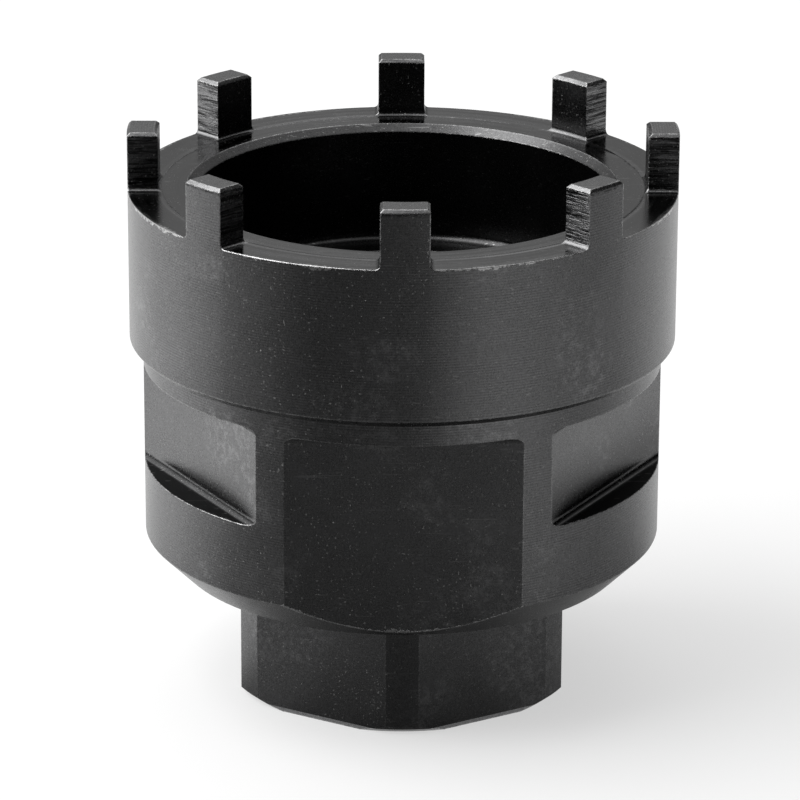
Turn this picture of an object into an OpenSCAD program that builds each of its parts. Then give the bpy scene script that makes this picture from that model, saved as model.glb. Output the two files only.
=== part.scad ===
// Bottom bracket tool: one steel piece with a crown of lugs, a band, wrench flats and a hex end.
// Millimetres, +Z up, standing on its hex end, with one lug, one flat and one hex corner to the front (-Y).

/* [Crown] */

// Overall height, from the hex end to the tops of the lugs
overall_height = 57; // [50:0.5:70]
// Outside diameter of the band and of the lugs
band_diameter = 54; // [52:0.5:60]
// Number of lugs round the rim
lug_count = 8; // [6:1:12]
// Width of one lug across its parallel sides
lug_width = 4.7; // [3:0.1:7]
// Radial thickness of a lug
lug_thickness = 3; // [2:0.1:4]
// Height of the lugs above the floors of the gaps
lug_height = 5.85; // [4:0.05:8]
// Root fillet of the lugs, the cutter's corner
lug_root_fillet = 0.5; // [0.2:0.05:1]
// Bevel on the top edges of the lugs
lug_bevel = 0.3; // [0.1:0.05:0.6]
// Height of the milled gap floors above the turned face inside them
gap_step = 0.06; // [0.02:0.01:0.15]

/* [Band] */

// Length of the band, from the gap floors down to the shoulder
band_length = 15.65; // [12:0.05:17]
// Bevel on the lower edge of the band
band_bevel = 0.6; // [0.2:0.1:1]

/* [Bore] */

// Diameter of the counterbore
bore_diameter = 40.8; // [38:0.2:42]
// Depth of the counterbore under the turned face
bore_depth = 12.1; // [8:0.1:14]
// Fillet at the foot of the counterbore
bore_fillet = 0.75; // [0.3:0.05:1.5]
// Radial width of the bevel at the mouth
mouth_bevel = 0.85; // [0.4:0.05:1]
// Depth of the bevel at the mouth
mouth_depth = 0.65; // [0.3:0.05:1.2]
// Diameter of the spindle bore below the counterbore
spindle_bore_diameter = 32; // [28:0.5:35]
// Thickness of solid steel between the spindle bore and the hex end
base_thickness = 18; // [15:0.5:22]
// Bevel at the mouth of the spindle bore
spindle_bore_bevel = 0.5; // [0.2:0.1:1]

/* [Body] */

// Diameter of the body below the shoulder
body_diameter = 51.3; // [50:0.1:51.8]
// Distance across each opposite pair of wrench flats
flats_across = 45.9; // [44:0.1:48]
// Drop from the gap floors to the upper end of the two long flats
long_flat_drop = 17.95; // [17.5:0.05:20]
// Drop from the gap floors to the upper end of the four short flats
short_flat_drop = 17.75; // [17.5:0.05:20]
// Length of the four short flats
short_flat_length = 10.1; // [8:0.1:13]
// Fillet at the ends of the flats, the cutter's corner
flat_fillet = 0.75; // [0.3:0.05:1.2]
// Diameter at the foot of the 45 degree cone
cone_foot_diameter = 45; // [42:0.5:46]

/* [Hex end] */

// Distance across the hex flats
hex_across = 32; // [28:0.5:33]
// Diameter of the turned corners of the hex
hex_corner_diameter = 35.2; // [34:0.1:36]
// Length of the hex below the body
hex_length = 12.7; // [10:0.1:14]
// Radial width of the bevel at the hex end
hex_end_bevel = 1; // [0.3:0.1:1.2]
// Height of the bevel at the hex end
hex_end_height = 0.8; // [0.3:0.05:1.2]
// Side of the square drive hole
drive_size = 9.6; // [9:0.1:13]
// Depth of the lead-in bevel at the mouth of the drive hole
drive_lead = 0.9; // [0.4:0.1:1.4]

/* [Hidden] */

// Steps round a full circle in the preview
$fn = 120;
// Length by which a cutter passes the surface it opens
over = 1;

// Levels, measured up from the hex end
gap_z = overall_height - lug_height;
face_z = gap_z - gap_step;
shoulder_z = gap_z - band_length;
bore_floor_z = face_z - bore_depth;
long_flat_top_z = gap_z - long_flat_drop;
short_flat_top_z = gap_z - short_flat_drop;
short_flat_foot_z = short_flat_top_z - short_flat_length;

// Radii
band_r = band_diameter / 2;
lug_inner_r = band_r - lug_thickness;
bore_r = bore_diameter / 2;
mouth_r = bore_r + mouth_bevel;
spindle_r = spindle_bore_diameter / 2;
body_r = body_diameter / 2;
cone_foot_r = cone_foot_diameter / 2;
flat_r = flats_across / 2;
hex_corner_r = hex_corner_diameter / 2;

// The cone falls at 45 degrees, so it is as high as it is deep
cone_top_z = hex_length + body_r - cone_foot_r;
// Angle between neighbouring lugs
lug_step = 360 / lug_count;

steel = [0.16, 0.16, 0.17];

// A block in the plane from (x0, y0) to (x1, y1)
module block(x0, y0, x1, y1) {
    translate([x0, y0])
        square([x1 - x0, y1 - y0]);
}

// The corner left between two edges by a round cutter, drawn towards +x and +y from the corner
module corner_waste(r) {
    difference() {
        square([r, r]);
        translate([r, r])
            circle(r = r);
    }
}

// Half section of the turned blank, right of the axis
module blank_section() {
    difference() {
        polygon([
            [0, hex_length],
            [cone_foot_r, hex_length],
            [body_r, cone_top_z],
            [body_r, shoulder_z],
            [band_r - band_bevel, shoulder_z],
            [band_r, shoulder_z + band_bevel],
            [band_r, overall_height - lug_bevel],
            [band_r - lug_bevel, overall_height],
            [0, overall_height]
        ]);
        bore_section();
    }
}

// Half section of everything turned out of the blank from above
module bore_section() {
    difference() {
        polygon([
            [-over, base_thickness],
            [spindle_r, base_thickness],
            [spindle_r, bore_floor_z - spindle_bore_bevel],
            [spindle_r + spindle_bore_bevel, bore_floor_z],
            [bore_r, bore_floor_z],
            [bore_r, face_z - mouth_depth],
            [mouth_r, face_z],
            [lug_inner_r, face_z],
            [lug_inner_r, overall_height - lug_bevel],
            [lug_inner_r + lug_bevel + over, overall_height + over],
            [-over, overall_height + over]
        ]);
        // Fillet at the foot of the counterbore
        translate([bore_r, bore_floor_z])
            mirror([1, 0])
                corner_waste(bore_fillet);
        // Fillet at the foot of the lugs' inner faces
        translate([lug_inner_r, face_z])
            mirror([1, 0])
                corner_waste(lug_root_fillet);
    }
}

module blank() {
    rotate_extrude()
        blank_section();
}

// Section of the space beside a lug: it leaves the lug's side, its top bevel and its root fillet
module beside_lug_section() {
    difference() {
        polygon([
            [lug_width / 2, gap_z],
            [band_diameter, gap_z],
            [band_diameter, overall_height + over],
            [lug_width / 2 - lug_bevel - over, overall_height + over],
            [lug_width / 2, overall_height - lug_bevel]
        ]);
        translate([lug_width / 2, gap_z])
            corner_waste(lug_root_fillet);
    }
}

// The space beside the front lug, on its +X side
module beside_lug() {
    rotate([90, 0, 0])
        linear_extrude(height = band_r + over)
            beside_lug_section();
}

// What the mill takes out between the front lug and the next one
module lug_gap() {
    intersection() {
        beside_lug();
        rotate([0, 0, lug_step])
            mirror([1, 0, 0])
                beside_lug();
    }
}

// Section of a flat's cutter: depth from the axis to the right, height up
module long_flat_section() {
    difference() {
        block(flat_r, hex_length - over, band_r + over, long_flat_top_z);
        translate([flat_r, long_flat_top_z])
            mirror([0, 1])
                corner_waste(flat_fillet);
    }
}

module short_flat_section() {
    difference() {
        block(flat_r, short_flat_foot_z, band_r + over, short_flat_top_z);
        translate([flat_r, short_flat_top_z])
            mirror([0, 1])
                corner_waste(flat_fillet);
        translate([flat_r, short_flat_foot_z])
            corner_waste(flat_fillet);
    }
}

// Sweeps a flat's section along the flat, on the +X side
module sweep_flat() {
    rotate([90, 0, 0])
        linear_extrude(height = band_diameter, center = true)
            children();
}

// Two long flats front and back, four short ones between them
module wrench_flats() {
    for (turn = [90, 270])
        rotate([0, 0, turn])
            sweep_flat()
                long_flat_section();
    for (turn = [30, 150, 210, 330])
        rotate([0, 0, turn])
            sweep_flat()
                short_flat_section();
}

// The hex end, its corners turned to a narrow round band and bevelled at the end
module hex_end() {
    intersection() {
        rotate([0, 0, 30])
            linear_extrude(height = hex_length + over)
                circle(r = hex_across / 2 / cos(30), $fn = 6);
        rotate_extrude()
            polygon([
                [0, 0],
                [hex_corner_r - hex_end_bevel, 0],
                [hex_corner_r, hex_end_height],
                [hex_corner_r, hex_length + over],
                [0, hex_length + over]
            ]);
    }
}

// Square drive hole with a conical lead-in at its mouth
module drive_hole() {
    translate([-drive_size / 2, -drive_size / 2, -over])
        cube([drive_size, drive_size, base_thickness + 2 * over]);
    translate([0, 0, -over])
        cylinder(
            h = over + drive_lead + drive_size / 2,
            r1 = over + drive_lead + drive_size / 2,
            r2 = 0
        );
}

module tool() {
    color(steel)
        difference() {
            union() {
                blank();
                hex_end();
            }
            for (i = [0:lug_count - 1])
                rotate([0, 0, i * lug_step])
                    lug_gap();
            wrench_flats();
            drive_hole();
        }
}

tool();
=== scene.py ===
import math
from types import SimpleNamespace

import bpy
from mathutils import Matrix, Vector

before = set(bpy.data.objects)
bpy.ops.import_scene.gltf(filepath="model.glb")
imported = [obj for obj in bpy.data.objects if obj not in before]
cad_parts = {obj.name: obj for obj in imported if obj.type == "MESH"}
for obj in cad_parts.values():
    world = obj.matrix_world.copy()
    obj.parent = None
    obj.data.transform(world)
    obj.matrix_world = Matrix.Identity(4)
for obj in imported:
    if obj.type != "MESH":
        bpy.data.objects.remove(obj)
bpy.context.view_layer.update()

MM = 0.001

# Levels and radii of the part in millimetres, repeated from the CAD source
GAP_Z = 51.15
LEDGE_Z = 23.3
CONE_TOP_Z = 15.85
HEX_TOP_Z = 12.7
BAND_R = 27.0
LUG_INNER_R = 24.0
BORE_R = 20.4
CONE_FOOT_R = 22.5
FLAT_DISTANCE = 22.95
LUG_COUNT = 8

# Half a lug's width at its root, the height of the painted shadow line under its top edge, and the least
# radius of a turned wall
LUG_FOOT_HALF = 2.85
LIP_Z = 56.5
TURNED_R = 25.6

# Camera, from a least-squares fit of the part's circles and edges to the photograph
TARGET = Vector((0, 0, GAP_Z * MM))
CAMERA_DISTANCE = 485.946 * MM
CAMERA_ELEVATION = math.radians(17.2775)
CAMERA_AZIMUTH = math.radians(-0.4933)
CAMERA_YAW = math.radians(-0.0235)
CAMERA_PITCH = math.radians(-2.4933)
CAMERA_ROLL = math.radians(0.2746)
LENS = 222.79
SENSOR = 36.0
CLIP_START = 0.01
CLIP_END = 20

# Masks by the normal: each is 0 at its first value and 1 at its second
FACING_UP = (0.8, 0.95)
BEVELLED = (0.95, 0.85)
UPRIGHT = (0.6, 0.3)
ACROSS_SPOKE = (0.7, 0.3)
FACING_OUT = (0.8, 0.95)
FACING_IN = (-0.6, -0.9)
FACING_FRONT_OR_BACK = (0.85, 0.95)

# Masks by height, in millimetres
ON_CROWN = (GAP_Z - 0.2, GAP_Z - 0.1)
BELOW_LUGS = (GAP_Z + 0.5, GAP_Z + 0.3)
BELOW_MOUTH = (GAP_Z - 0.4, GAP_Z - 0.8)
ABOVE_FOOT = (CONE_TOP_Z + 0.3, CONE_TOP_Z + 0.6)
BELOW_ROOT_TOP = (LEDGE_Z + 1.2, LEDGE_Z + 0.8)
ABOVE_ROOT_FOOT = (LEDGE_Z - 0.2, LEDGE_Z - 0.1)
TOWARDS_LEDGE = (LEDGE_Z + 7.5, LEDGE_Z + 0.5)
ABOVE_LEDGE = (LEDGE_Z - 0.1, LEDGE_Z)

# Masks by radius or by distance from a line, in millimetres
ON_TURNED_WALL = (TURNED_R - 0.1, TURNED_R)
ON_CUT_WALL = (TURNED_R, TURNED_R - 0.1)
IN_HOLLOW = (BORE_R + 0.9, BORE_R + 0.7)
CLEAR_OF_LUG = (LUG_FOOT_HALF - 0.1, LUG_FOOT_HALF + 0.1)
RIGHT_OF_FRONT_FLAT = (12.0, 13.0)
AT_LEDGE = (0.4, 0.2)
AT_STEP = (0.3, 0.1)
AT_LIP = (0.12, 0.04)

# Noises in millimetres: scale, detail and roughness, and the levels between which a mark starts and is full
GRAIN_NOISE = (6.5, 2.0, 0.7)
CLOUD_NOISE = (0.22, 4.0, 0.6)
RING_NOISE = (1.0, 4.0, 0.7)
RING_LEVELS = (0.36, 0.64)
STREAK_NOISE = (1.0, 3.0, 0.7)
STREAK_LEVELS = (0.36, 0.66)
SMEAR_NOISE = (1.2, 5.0, 0.75)
SMEAR_LEVELS = (0.44, 0.68)
PATCH_NOISE = (0.11, 1.0)
PATCH_LEVELS = (0.52, 0.66)
RUB_NOISE = (1.8, 4.0, 0.75)
RUB_LEVELS = (0.36, 0.60)

# How those noises are stretched: along the radius and round the rim, or along x, y and z
RINGS_PER_MM = 1.7
RINGS_ROUND = 0.8
STREAK_STRETCH = (0.22, 0.22, 4.2)

# Turning lines: feed in millimetres, how far a line wanders in radians, and how its depth drifts
TURNING_FEED = 0.27
TURNING_WANDER = 1.5
WANDER_STRETCH = (0.05, 0.05, 2.0)
DRIFT_STRETCH = (0.12, 0.12, 0.5)
DRIFT_NOISE = (1.0, 2.0)
DRIFT_LEVELS = (0.35, 0.65, 0.3, 1.0)

# Scratches: direction as three turns, length in millimetres, and the levels where one starts and is full
SCRATCHES = (
    ((0.0, 0.7, 0.4), 9.0, 0.795, 0.82),
    ((0.2, -0.9, -0.5), 5.0, 0.79, 0.82),
    ((-0.6, 1.4, 0.2), 1.2, 0.79, 0.82),
)
SCRATCHES_ACROSS = 5.0
SCRATCH_NOISE = (1.0, 0.0)

# Dust: fine specks, gathered by a slower noise, and single motes, with their shares outside and in the bore
SPECK_NOISE = (5.0, 0.0)
GATHER_NOISE = (0.5, 2.0)
GATHER_WEIGHT = 0.2
SPECK_LEVELS = (0.85, 0.91)
SPECKS_OUT_AND_IN = (0.35, 0.02)
MOTES_PER_MM = 0.6
MOTE_REACH = 0.045
MOTES_OUT_AND_IN = (0.8, 0.2)
DUST_ON_RIM = 0.45
DUST_ON_LEDGE = 0.1

# Smears that handling left: centre and reach in millimetres, and the share of the reach that is full
SMEARS = (
    (-17.6, -15.4, 30.0, 4.5),
    (-9.6, -12.9, 10.4, 4.5),
)
SMEAR_CORE = 0.3

# Edges: radius in millimetres, and the cosine from rounded to true normal where wear starts and is full
EDGE_RADIUS = 0.18
EDGE_SAMPLES = 5
EDGE_LEVELS = (0.996, 0.93)
WEAR_IN_HOLLOW = 0.4

# Burr: how far it reaches at least and at most, in millimetres, where it grows and how ragged it is
BURR_LEAST = 0.08
RIM_BURR_MOST = 0.5
CONE_BURR_MOST = 0.28
BURR_GROWTH_NOISE = (0.16, 1.0)
BURR_GROWTH_LEVELS = (0.42, 0.62)
BURR_RAG_NOISE = (2.6, 3.0, 0.7)
BURR_RAG_LEVELS = (0.35, 0.65)
BURR_WEIGHT = 0.8

# Colours of the oxide where it is darkest and palest, of a scratch, of worn metal and of dust
OXIDE_DARK = (0.138, 0.138, 0.140, 1)
OXIDE_PALE = (0.188, 0.188, 0.190, 1)
SCRATCH_COLOR = (0.36, 0.36, 0.36, 1)
WORN_COLOR = (0.66, 0.66, 0.66, 1)
DUST_COLOR = (0.5, 0.5, 0.49, 1)
SCRATCH_WEIGHT = 0.4

# Painted shade: share of the oxide's brightness that is left on each surface that is painted darker
SHADE_INSIDE = 0.3
SHADE_LEDGE = 0.08
SHADE_MOUTH = 0.5
SHADE_LUG_INSIDE = 0.6
SHADE_OVER_LEDGE = 0.35
SHADE_LUG_FORE = 0.5
SHADE_LIP = 0.3

# Rim, painted shade towards its left and right: the parts of x in the radius between which the share that
# is left falls, and the two shares
SHADE_RIM = (0.5, 0.95, 0.58, 0.26)

# How each mark changes that brightness: weight, and for the first two the share where the mark is 0; at the
# step it is a painted highlight
GRAIN_SHADE = (1.4, 0.3)
STREAK_SHADE = (1.7, 0.1)
TURNING_SHADE = 0.17
RING_SHADE = 0.9
SMEAR_SHADE = 0.6
STEP_HIGHLIGHT = 1.2

# Roughness of the dark and the pale oxide and of dust, and what marks and places add to it
ROUGHNESS_DARK = 0.24
ROUGHNESS_PALE = 0.32
ROUGHNESS_DUST = 0.9
GRAIN_ROUGHNESS = (0.12, -0.06)
RIM_ROUGHNESS = -0.13
RING_ROUGHNESS = 0.14
ROOT_ROUGHNESS = -0.06
LEDGE_ROUGHNESS = 0.4

# Height of each mark in millimetres
GRAIN_HEIGHT = 0.005
TURNING_HEIGHT = 0.0012
STREAK_HEIGHT = 0.03
WEAR_HEIGHT = 0.01

# Floor: its width in metres, which the low sheet of painted shade shares, its colour, and the glow that
# makes it white
SET_SIZE = 6
FLOOR_COLOR = (0.4, 0.4, 0.4, 1)
FLOOR_GLOW = 0.58
WHITE = (1, 1, 1, 1)
BLACK = (0, 0, 0, 1)

# White that the low sheet of painted shade lets through, by compass angle in degrees from the front (-Y)
# towards +X
FAR_LIGHT = (
    (-180, 0.90), (-130, 0.98), (-100, 1.00), (-84, 0.74), (-66, 0.30), (-35, 0.09),
    (0, 0.12), (38, 0.54), (80, 0.42), (125, 0.82), (180, 0.92),
)
# Near ring, seen in the hex: painted shadow of the part on the ground round its foot
NEAR_LIGHT = (
    (-180, 0.90), (-100, 0.82), (-60, 0.29), (-30, 0.14), (0, 0.08),
    (30, 0.15), (60, 0.27), (95, 0.35), (130, 0.75), (180, 0.90),
)

# Low sheet of painted shade: its height over the floor, and the radii between which the near light turns
# into the far one
LOW_SHEET_LIFT = 0.4 * MM
LIGHTS_MEET = (52.0 * MM, 76.0 * MM)

# Dome of painted shade: radius in metres, its mesh, the white that it lets through by the sine of the
# height, and its clear side, with the cosines from it between which the dome clears
SHADE_DOME_RADIUS = 2.0
SHADE_DOME_SEGMENTS = 64
SHADE_DOME_RINGS = 32
HIGH_LIGHT = ((0.0, 0.02), (0.15, 0.14), (0.35, 0.48), (0.7, 0.9), (1.0, 0.95))
CLEAR_SIDE = (-0.71, 0.70, 0.0)
CLEAR_LEVELS = (-0.3, 0.5)

# Lamps: name, compass angle and elevation in degrees, distance and width in metres, and watts
LAMPS = (
    ("key", -80, 48, 1.0, 1.0, 11.2),
    ("top", 180, 80, 1.0, 1.4, 4.2),
)

# Point that the lamps face
LAMP_AIM = Vector((0, 0, 0.03))


class Nodes:
    """Short calls that add nodes to one node tree and join them."""

    def __init__(self, tree):
        self.tree = tree

    def add(self, kind, inputs=(), **settings):
        node = self.tree.nodes.new(kind)
        for name, value in settings.items():
            setattr(node, name, value)
        for key, value in dict(inputs).items():
            self.put(node, key, value)
        return node

    def put(self, node, key, value):
        if isinstance(value, bpy.types.NodeSocket):
            self.tree.links.new(value, node.inputs[key])
        else:
            node.inputs[key].default_value = value

    def math(self, operation, a, b=0.0, c=0.0):
        return self.add("ShaderNodeMath", {0: a, 1: b, 2: c}, operation=operation).outputs[0]

    def times(self, first, *others):
        for other in others:
            first = self.math("MULTIPLY", first, other)
        return first

    def apart(self, a, b):
        return self.math("ABSOLUTE", self.math("SUBTRACT", a, b))

    def vector(self, operation, a, b=(0, 0, 0)):
        node = self.add("ShaderNodeVectorMath", {0: a, 1: b}, operation=operation)
        return node.outputs["Value" if operation in ("LENGTH", "DOT_PRODUCT") else "Vector"]

    def scaled(self, vector, factor):
        node = self.add("ShaderNodeVectorMath", {0: vector, "Scale": factor}, operation="SCALE")
        return node.outputs["Vector"]

    def parts(self, vector):
        return self.add("ShaderNodeSeparateXYZ", {0: vector}).outputs

    def joined(self, x, y, z):
        return self.add("ShaderNodeCombineXYZ", {0: x, 1: y, 2: z}).outputs[0]

    def smooth(self, value, low, high, to_low=0.0, to_high=1.0):
        inputs = {0: value, 1: low, 2: high, 3: to_low, 4: to_high}
        return self.add("ShaderNodeMapRange", inputs, interpolation_type="SMOOTHSTEP").outputs[0]

    def mix(self, factor, a, b):
        return self.add("ShaderNodeMix", {0: factor, 2: a, 3: b}).outputs[0]

    def mix_color(self, factor, a, b):
        return self.add("ShaderNodeMix", {0: factor, 6: a, 7: b}, data_type="RGBA").outputs[2]

    def noise(self, vector, scale, detail, rough=0.5):
        inputs = {"Vector": vector, "Scale": scale, "Detail": detail, "Roughness": rough}
        return self.add("ShaderNodeTexNoise", inputs).outputs["Fac"]

    def ramp(self, value, stops):
        node = self.add("ShaderNodeValToRGB", {0: value})
        while len(node.color_ramp.elements) < len(stops):
            node.color_ramp.elements.new(0.5)
        for element, (place, level) in zip(node.color_ramp.elements, stops):
            element.position = place
            element.color = (level, level, level, 1)
        node.color_ramp.interpolation = "EASE"
        return node.outputs[0]

    def object_place(self):
        return self.add("ShaderNodeTexCoord").outputs["Object"]

    def compass(self, x, y):
        """Angle round the axis in radians, from the front (-Y) towards +X."""
        return self.math("ARCTAN2", x, self.math("MULTIPLY", y, -1.0))


def new_material(name):
    material = bpy.data.materials.new(name)
    material.use_nodes = True
    return material, Nodes(material.node_tree)


def turned(a, b, angle):
    """Two unit vectors turned towards each other in their own plane."""
    return a * math.cos(angle) + b * math.sin(angle), b * math.cos(angle) - a * math.sin(angle)


def direction_to(compass, elevation):
    """Unit vector towards a compass angle from the front (-Y) towards +X and an elevation, in radians."""
    return Vector((
        math.sin(compass) * math.cos(elevation),
        -math.cos(compass) * math.cos(elevation),
        math.sin(elevation),
    ))


def make_camera():
    offset = CAMERA_DISTANCE * direction_to(CAMERA_AZIMUTH, CAMERA_ELEVATION)
    look = -offset.normalized()
    right = look.cross(Vector((0, 0, 1))).normalized()
    up = right.cross(look)
    look, right = turned(look, right, CAMERA_YAW)
    look, up = turned(look, up, CAMERA_PITCH)
    right, up = turned(right, up, CAMERA_ROLL)
    data = bpy.data.cameras.new("camera")
    data.lens = LENS
    data.sensor_width = SENSOR
    data.clip_start = CLIP_START
    data.clip_end = CLIP_END
    camera = bpy.data.objects.new("camera", data)
    turn = Matrix((right, up, -look)).transposed().to_4x4()
    camera.matrix_world = Matrix.Translation(TARGET + offset) @ turn
    bpy.context.scene.collection.objects.link(camera)
    bpy.context.scene.camera = camera


def read_surface(nodes):
    """Place of the shaded point in millimetres, its normal, and a mask for each kind of surface."""
    spot = SimpleNamespace()
    spot.place = nodes.vector("MULTIPLY", nodes.object_place(), (1 / MM, 1 / MM, 1 / MM))
    spot.x, spot.y, spot.z = nodes.parts(spot.place)
    level_p = nodes.vector("MULTIPLY", spot.place, (1, 1, 0))
    spot.radius = nodes.vector("LENGTH", level_p)
    spot.spoke = nodes.vector("NORMALIZE", level_p)
    spot.normal = nodes.add("ShaderNodeNewGeometry").outputs["Normal"]
    normal_y, normal_z = nodes.parts(spot.normal)[1:]
    spot.outward = nodes.vector("DOT_PRODUCT", spot.spoke, spot.normal)

    # Crown, with the distance round the part from the middle of the nearest lug
    beside = nodes.math("PINGPONG", nodes.compass(spot.x, spot.y), math.pi / LUG_COUNT)
    spot.beside_lug = nodes.times(beside, spot.radius)
    spot.facing_up = nodes.smooth(normal_z, *FACING_UP)
    upright = nodes.smooth(nodes.math("ABSOLUTE", normal_z), *UPRIGHT)
    on_crown = nodes.smooth(spot.z, *ON_CROWN)
    across = nodes.smooth(nodes.math("ABSOLUTE", spot.outward), *ACROSS_SPOKE)
    spot.lug_side = nodes.times(across, on_crown, upright)
    spot.lug_inside = nodes.times(nodes.smooth(spot.outward, *FACING_IN), on_crown)
    front_or_back = nodes.smooth(nodes.math("ABSOLUTE", normal_y), *FACING_FRONT_OR_BACK)
    spot.lug_fore = nodes.times(spot.lug_side, front_or_back)
    turned_rim = nodes.times(spot.facing_up, on_crown)
    spot.rim = nodes.times(turned_rim, nodes.smooth(spot.z, *BELOW_LUGS))
    turned_wall = nodes.times(nodes.smooth(spot.radius, *ON_TURNED_WALL), upright)
    spot.turned = nodes.math("MAXIMUM", turned_wall, turned_rim)

    # Hollow, and its bevelled mouth
    spot.hollow = nodes.times(nodes.smooth(spot.radius, *IN_HOLLOW), nodes.smooth(spot.z, *ABOVE_FOOT))
    spot.inside = nodes.times(spot.hollow, nodes.smooth(spot.z, *BELOW_MOUTH))
    near_mouth = nodes.math("SUBTRACT", spot.hollow, spot.inside)
    spot.mouth = nodes.times(near_mouth, nodes.smooth(normal_z, *BEVELLED))

    # Ledges under the short flats, their root fillets, and the wall over the right ones
    on_cut = nodes.smooth(spot.radius, *ON_CUT_WALL)
    spot.ledge = nodes.times(spot.facing_up, nodes.smooth(nodes.apart(spot.z, LEDGE_Z), *AT_LEDGE))
    spot.root = nodes.times(
        nodes.smooth(spot.z, *BELOW_ROOT_TOP), nodes.smooth(spot.z, *ABOVE_ROOT_FOOT), on_cut,
    )
    at_right = nodes.smooth(spot.x, *RIGHT_OF_FRONT_FLAT)
    spot.over_ledge = nodes.times(
        nodes.smooth(spot.z, *TOWARDS_LEDGE), nodes.smooth(spot.z, *ABOVE_LEDGE), upright, on_cut, at_right,
    )
    return spot


def rim_rings(nodes, spot):
    """Turned rings on the rim, uneven in width and depth, from -0.5 to 0.5."""
    along = nodes.joined(0.0, 0.0, nodes.times(spot.radius, RINGS_PER_MM))
    place = nodes.vector("ADD", nodes.scaled(spot.spoke, RINGS_ROUND), along)
    rings = nodes.smooth(nodes.noise(place, *RING_NOISE), *RING_LEVELS)
    return nodes.times(nodes.math("SUBTRACT", rings, 0.5), spot.rim)


def turning_lines(nodes, spot):
    """One line each feed, from -1 to 1, whose depth drifts along and round the part."""
    drift = nodes.noise(nodes.vector("MULTIPLY", spot.place, DRIFT_STRETCH), *DRIFT_NOISE)
    wander = nodes.noise(nodes.vector("MULTIPLY", spot.place, WANDER_STRETCH), *DRIFT_NOISE)
    along = nodes.mix(spot.facing_up, spot.z, spot.radius)
    shift = nodes.times(wander, TURNING_WANDER)
    phase = nodes.math("MULTIPLY_ADD", along, 2 * math.pi / TURNING_FEED, shift)
    return nodes.times(nodes.math("SINE", phase), nodes.smooth(drift, *DRIFT_LEVELS), spot.turned)


def mill_streaks(nodes, spot):
    """Level streaks that the mill left."""
    stretched = nodes.vector("MULTIPLY", spot.place, STREAK_STRETCH)
    return nodes.smooth(nodes.noise(stretched, *STREAK_NOISE), *STREAK_LEVELS)


def scratches(nodes, spot):
    """Straight scratches and short dashes, each kind along its own direction."""
    hairs = []
    for turn, length, low, high in SCRATCHES:
        scale = (1 / length, SCRATCHES_ACROSS, SCRATCHES_ACROSS)
        inputs = {"Vector": spot.place, "Rotation": turn, "Scale": scale}
        laid = nodes.add("ShaderNodeMapping", inputs).outputs[0]
        hairs.append(nodes.smooth(nodes.noise(laid, *SCRATCH_NOISE), low, high))
    scratch = hairs[0]
    for hair in hairs[1:]:
        scratch = nodes.math("MAXIMUM", scratch, hair)
    return scratch


def dust_specks(nodes, spot):
    """Specks of dust, mostly fine, in loose clusters, and few in the bore."""
    gathered = nodes.noise(spot.place, *GATHER_NOISE)
    specks = nodes.math("MULTIPLY_ADD", gathered, GATHER_WEIGHT, nodes.noise(spot.place, *SPECK_NOISE))
    specks = nodes.times(nodes.smooth(specks, *SPECK_LEVELS), nodes.mix(spot.inside, *SPECKS_OUT_AND_IN))
    cells = nodes.add("ShaderNodeTexVoronoi", {"Vector": spot.place, "Scale": MOTES_PER_MM}).outputs
    chance = nodes.add("ShaderNodeSeparateColor", {0: cells["Color"]}).outputs[0]
    mote = nodes.math("LESS_THAN", cells["Distance"], nodes.times(chance, MOTE_REACH))
    mote = nodes.times(mote, nodes.mix(spot.inside, *MOTES_OUT_AND_IN))
    settled = nodes.times(nodes.mix(spot.rim, 1.0, DUST_ON_RIM), nodes.mix(spot.ledge, 1.0, DUST_ON_LEDGE))
    return nodes.times(nodes.math("MAXIMUM", specks, mote), settled)


def smears(nodes, spot):
    """Smears that handling left, in patches."""
    smear = nodes.noise(spot.place, *SMEAR_NOISE)
    patch = nodes.smooth(nodes.noise(spot.place, *PATCH_NOISE), *PATCH_LEVELS)
    for *centre, reach in SMEARS:
        away = nodes.vector("LENGTH", nodes.vector("SUBTRACT", spot.place, centre))
        patch = nodes.math("MAXIMUM", patch, nodes.smooth(away, reach, SMEAR_CORE * reach))
    return nodes.times(nodes.smooth(smear, *SMEAR_LEVELS), patch)


def burr(nodes, place, distance, most):
    """Ragged bright metal within a changing reach, in millimetres, of an edge."""
    reach = nodes.smooth(nodes.noise(place, *BURR_GROWTH_NOISE), *BURR_GROWTH_LEVELS, BURR_LEAST, most)
    reach = nodes.times(reach, nodes.smooth(nodes.noise(place, *BURR_RAG_NOISE), *BURR_RAG_LEVELS))
    return nodes.math("LESS_THAN", distance, reach)


def burrs(nodes, spot):
    """Burr along the outer edge of the rim, and where the long flats run out in the cone."""
    from_band = nodes.apart(spot.radius, BAND_R)
    from_gap = nodes.apart(spot.z, GAP_Z)
    from_corner = nodes.vector("LENGTH", nodes.joined(from_band, from_gap, 0.0))
    on_rim = burr(nodes, spot.place, from_corner, RIM_BURR_MOST)
    on_rim = nodes.times(on_rim, nodes.smooth(spot.beside_lug, *CLEAR_OF_LUG))
    from_flat = nodes.apart(nodes.math("ABSOLUTE", spot.y), FLAT_DISTANCE)
    cone_radius = nodes.math("ADD", spot.z, CONE_FOOT_R - HEX_TOP_Z)
    from_cone = nodes.times(nodes.apart(spot.radius, cone_radius), math.sqrt(0.5))
    on_cone = burr(nodes, spot.place, nodes.math("MAXIMUM", from_flat, from_cone), CONE_BURR_MOST)
    return nodes.times(nodes.math("MAXIMUM", on_rim, on_cone), BURR_WEIGHT)


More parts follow.
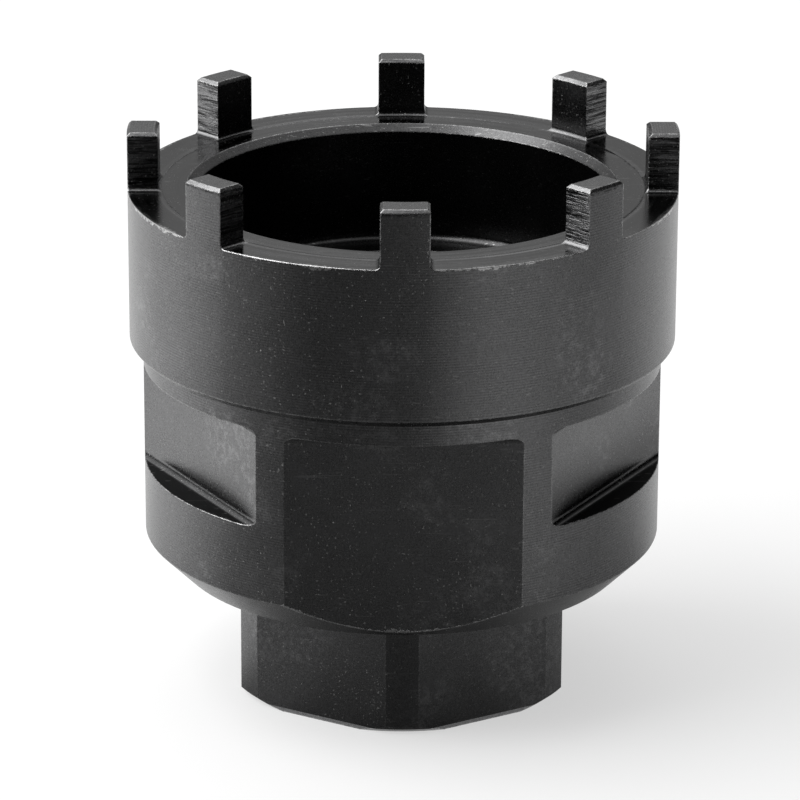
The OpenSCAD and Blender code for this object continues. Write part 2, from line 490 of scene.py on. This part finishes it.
def steel():
    """Black oxide on turned and milled steel: satin and dark, with tool marks, dust and worn edges, and
    with painted shade, a painted highlight line and a painted shadow line.
    """
    material, nodes = new_material("black_oxide_steel")
    bsdf = material.node_tree.nodes["Principled BSDF"]
    spot = read_surface(nodes)
    grain = nodes.noise(spot.place, *GRAIN_NOISE)
    cloud = nodes.noise(spot.place, *CLOUD_NOISE)
    rings = rim_rings(nodes, spot)
    turning = turning_lines(nodes, spot)
    streak = mill_streaks(nodes, spot)
    scratch = scratches(nodes, spot)
    dust = dust_specks(nodes, spot)
    smear = smears(nodes, spot)

    # Outer edges, broken and worn to brighter steel here and there
    bevel = nodes.add("ShaderNodeBevel", {"Radius": EDGE_RADIUS * MM}, samples=EDGE_SAMPLES)
    rounded = bevel.outputs["Normal"]
    edge = nodes.smooth(nodes.vector("DOT_PRODUCT", rounded, spot.normal), *EDGE_LEVELS)
    rub = nodes.smooth(nodes.noise(spot.place, *RUB_NOISE), *RUB_LEVELS)
    wear = nodes.times(edge, rub, nodes.mix(spot.hollow, 1.0, WEAR_IN_HOLLOW))
    wear = nodes.math("MAXIMUM", wear, burrs(nodes, spot))

    # Painted highlight: bright line at the step of the rim; painted shadow: broken dark line under the top
    # edge of each lug
    step_highlight = nodes.times(nodes.smooth(nodes.apart(spot.radius, LUG_INNER_R), *AT_STEP), spot.rim)
    at_lip = nodes.smooth(nodes.apart(spot.z, LIP_Z), *AT_LIP)
    lip_shadow = nodes.times(at_lip, rub, nodes.smooth(spot.outward, *FACING_OUT))

    # Brightness of the oxide, by real mark, and painted shade by surface
    shade = nodes.math("MULTIPLY_ADD", grain, *GRAIN_SHADE)
    shade = nodes.math("MULTIPLY_ADD", turning, TURNING_SHADE, shade)
    streaked = nodes.math("MULTIPLY_ADD", streak, *STREAK_SHADE)
    shade = nodes.times(shade, nodes.mix(spot.lug_side, 1.0, streaked))
    # Painted shade on the bore, its mouth, the ledges, the lugs' inner sides, the wall over the right
    # ledges, and the lug sides that face front or back
    for mask, share in (
        (spot.inside, SHADE_INSIDE),
        (spot.ledge, SHADE_LEDGE),
        (spot.mouth, SHADE_MOUTH),
        (spot.lug_inside, SHADE_LUG_INSIDE),
        (spot.over_ledge, SHADE_OVER_LEDGE),
        (spot.lug_fore, SHADE_LUG_FORE),
    ):
        shade = nodes.times(shade, nodes.mix(mask, 1.0, share))
    # Painted shade on the rim, darker towards its left and right sides, and the painted shadow line under
    # each lug's top edge
    rim_side_shade = nodes.smooth(nodes.math("DIVIDE", nodes.math("ABSOLUTE", spot.x), spot.radius), *SHADE_RIM)
    shade = nodes.times(shade, nodes.mix(spot.rim, 1.0, rim_side_shade), nodes.mix(lip_shadow, 1.0, SHADE_LIP))
    # Real rings and smears, and the painted highlight at the rim's step
    for mark, weight in ((rings, RING_SHADE), (smear, SMEAR_SHADE), (step_highlight, STEP_HIGHLIGHT)):
        shade = nodes.times(shade, nodes.math("MULTIPLY_ADD", mark, weight, 1.0))

    base = nodes.scaled(nodes.mix_color(cloud, OXIDE_DARK, OXIDE_PALE), shade)
    base = nodes.mix_color(nodes.times(scratch, SCRATCH_WEIGHT), base, SCRATCH_COLOR)
    base = nodes.mix_color(wear, base, WORN_COLOR)
    base = nodes.mix_color(dust, base, DUST_COLOR)
    nodes.put(bsdf, "Base Color", base)
    nodes.put(bsdf, "Metallic", nodes.math("SUBTRACT", 1.0, dust))

    roughness = nodes.mix(cloud, ROUGHNESS_DARK, ROUGHNESS_PALE)
    roughness = nodes.math("ADD", roughness, nodes.math("MULTIPLY_ADD", grain, *GRAIN_ROUGHNESS))
    for mark, weight in (
        (spot.rim, RIM_ROUGHNESS),
        (rings, RING_ROUGHNESS),
        (spot.root, ROOT_ROUGHNESS),
        (spot.ledge, LEDGE_ROUGHNESS),
    ):
        roughness = nodes.math("MULTIPLY_ADD", mark, weight, roughness)
    nodes.put(bsdf, "Roughness", nodes.mix(dust, roughness, ROUGHNESS_DUST))

    # Relief, in millimetres
    height = nodes.times(grain, GRAIN_HEIGHT)
    height = nodes.math("MULTIPLY_ADD", turning, TURNING_HEIGHT, height)
    height = nodes.math("MULTIPLY_ADD", nodes.times(streak, spot.lug_side), STREAK_HEIGHT, height)
    height = nodes.math("MULTIPLY_ADD", wear, WEAR_HEIGHT, height)
    inputs = {"Strength": 1.0, "Distance": MM, "Height": height, "Normal": rounded}
    nodes.put(bsdf, "Normal", nodes.add("ShaderNodeBump", inputs).outputs["Normal"])
    return material


def make_floor():
    """Floor that is white to the camera and in the steel alike, and keeps the part's shadow."""
    bpy.ops.mesh.primitive_plane_add(size=SET_SIZE)
    floor = bpy.context.object
    floor.name = "floor"
    material, nodes = new_material("paper")
    bsdf = material.node_tree.nodes["Principled BSDF"]
    path = nodes.add("ShaderNodeLightPath").outputs
    mirrored = nodes.math("MAXIMUM", path["Is Glossy Ray"], path["Is Transmission Ray"])
    seen = nodes.math("MAXIMUM", path["Is Camera Ray"], mirrored)
    nodes.put(bsdf, "Base Color", FLOOR_COLOR)
    nodes.put(bsdf, "Emission Color", WHITE)
    nodes.put(bsdf, "Emission Strength", nodes.times(seen, FLOOR_GLOW))
    nodes.put(bsdf, "Roughness", 1.0)
    nodes.put(bsdf, "Specular IOR Level", 0.0)
    floor.data.materials.append(material)


def make_world():
    world = bpy.data.worlds.new("studio")
    bpy.context.scene.world = world
    world.use_nodes = True
    world.node_tree.nodes["Background"].inputs["Color"].default_value = WHITE


def hang_shade_sheet(piece, material, nodes, clear):
    """Makes the piece a dark sheet of painted shade, hidden from the camera, that lets a share of the white
    through.
    """
    dark = nodes.add("ShaderNodeBsdfDiffuse", {"Color": BLACK}).outputs[0]
    through = nodes.add("ShaderNodeBsdfTransparent").outputs[0]
    mixed = nodes.add("ShaderNodeMixShader", {0: clear, 1: dark, 2: through}).outputs[0]
    nodes.put(material.node_tree.nodes["Material Output"], "Surface", mixed)
    piece.name = material.name
    piece.data.materials.append(material)
    piece.visible_camera = False


def make_low_shade_sheet():
    """Sheet of painted shade on the floor, seen in the steel, that gives the walls their round light: dark
    in front and clear behind.
    """
    bpy.ops.mesh.primitive_plane_add(size=SET_SIZE, location=(0, 0, LOW_SHEET_LIFT))
    piece = bpy.context.object
    piece.visible_shadow = False
    piece.visible_diffuse = False
    material, nodes = new_material("low_shade_sheet")
    place = nodes.object_place()
    x, y, _ = nodes.parts(place)
    turn = nodes.math("MULTIPLY_ADD", nodes.compass(x, y), 0.5 / math.pi, 0.5)
    near, far = (
        nodes.ramp(turn, [((angle + 180) / 360, level) for angle, level in ring])
        for ring in (NEAR_LIGHT, FAR_LIGHT)
    )
    away = nodes.smooth(nodes.vector("LENGTH", place), *LIGHTS_MEET)
    hang_shade_sheet(piece, material, nodes, nodes.mix_color(away, near, far))


def make_shade_dome():
    """Dome of painted shade round the set: dark in front and near the ground, clear high up behind and at
    the left.
    """
    bpy.ops.mesh.primitive_uv_sphere_add(
        segments=SHADE_DOME_SEGMENTS, ring_count=SHADE_DOME_RINGS, radius=SHADE_DOME_RADIUS,
    )
    material, nodes = new_material("shade_dome")
    direction = nodes.vector("NORMALIZE", nodes.object_place())
    level = nodes.ramp(nodes.parts(direction)["Z"], HIGH_LIGHT)
    behind = nodes.smooth(nodes.vector("DOT_PRODUCT", direction, CLEAR_SIDE), *CLEAR_LEVELS)
    hang_shade_sheet(bpy.context.object, material, nodes, nodes.times(level, behind))


def make_lamp(name, compass, elevation, distance, width, watts):
    """Square lamp that faces the part."""
    data = bpy.data.lights.new(name, "AREA")
    data.shape = "SQUARE"
    data.size = width
    data.energy = watts
    lamp = bpy.data.objects.new(name, data)
    away = direction_to(math.radians(compass), math.radians(elevation))
    lamp.location = away * distance + LAMP_AIM
    lamp.rotation_euler = away.to_track_quat("Z", "Y").to_euler()
    bpy.context.scene.collection.objects.link(lamp)


make_camera()
oxide = steel()
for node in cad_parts.values():
    for slot in node.material_slots:
        slot.material = oxide
make_floor()
make_world()
make_low_shade_sheet()
make_shade_dome()
for lamp_values in LAMPS:
    make_lamp(*lamp_values)

bpy.context.scene.view_settings.view_transform = "Standard"
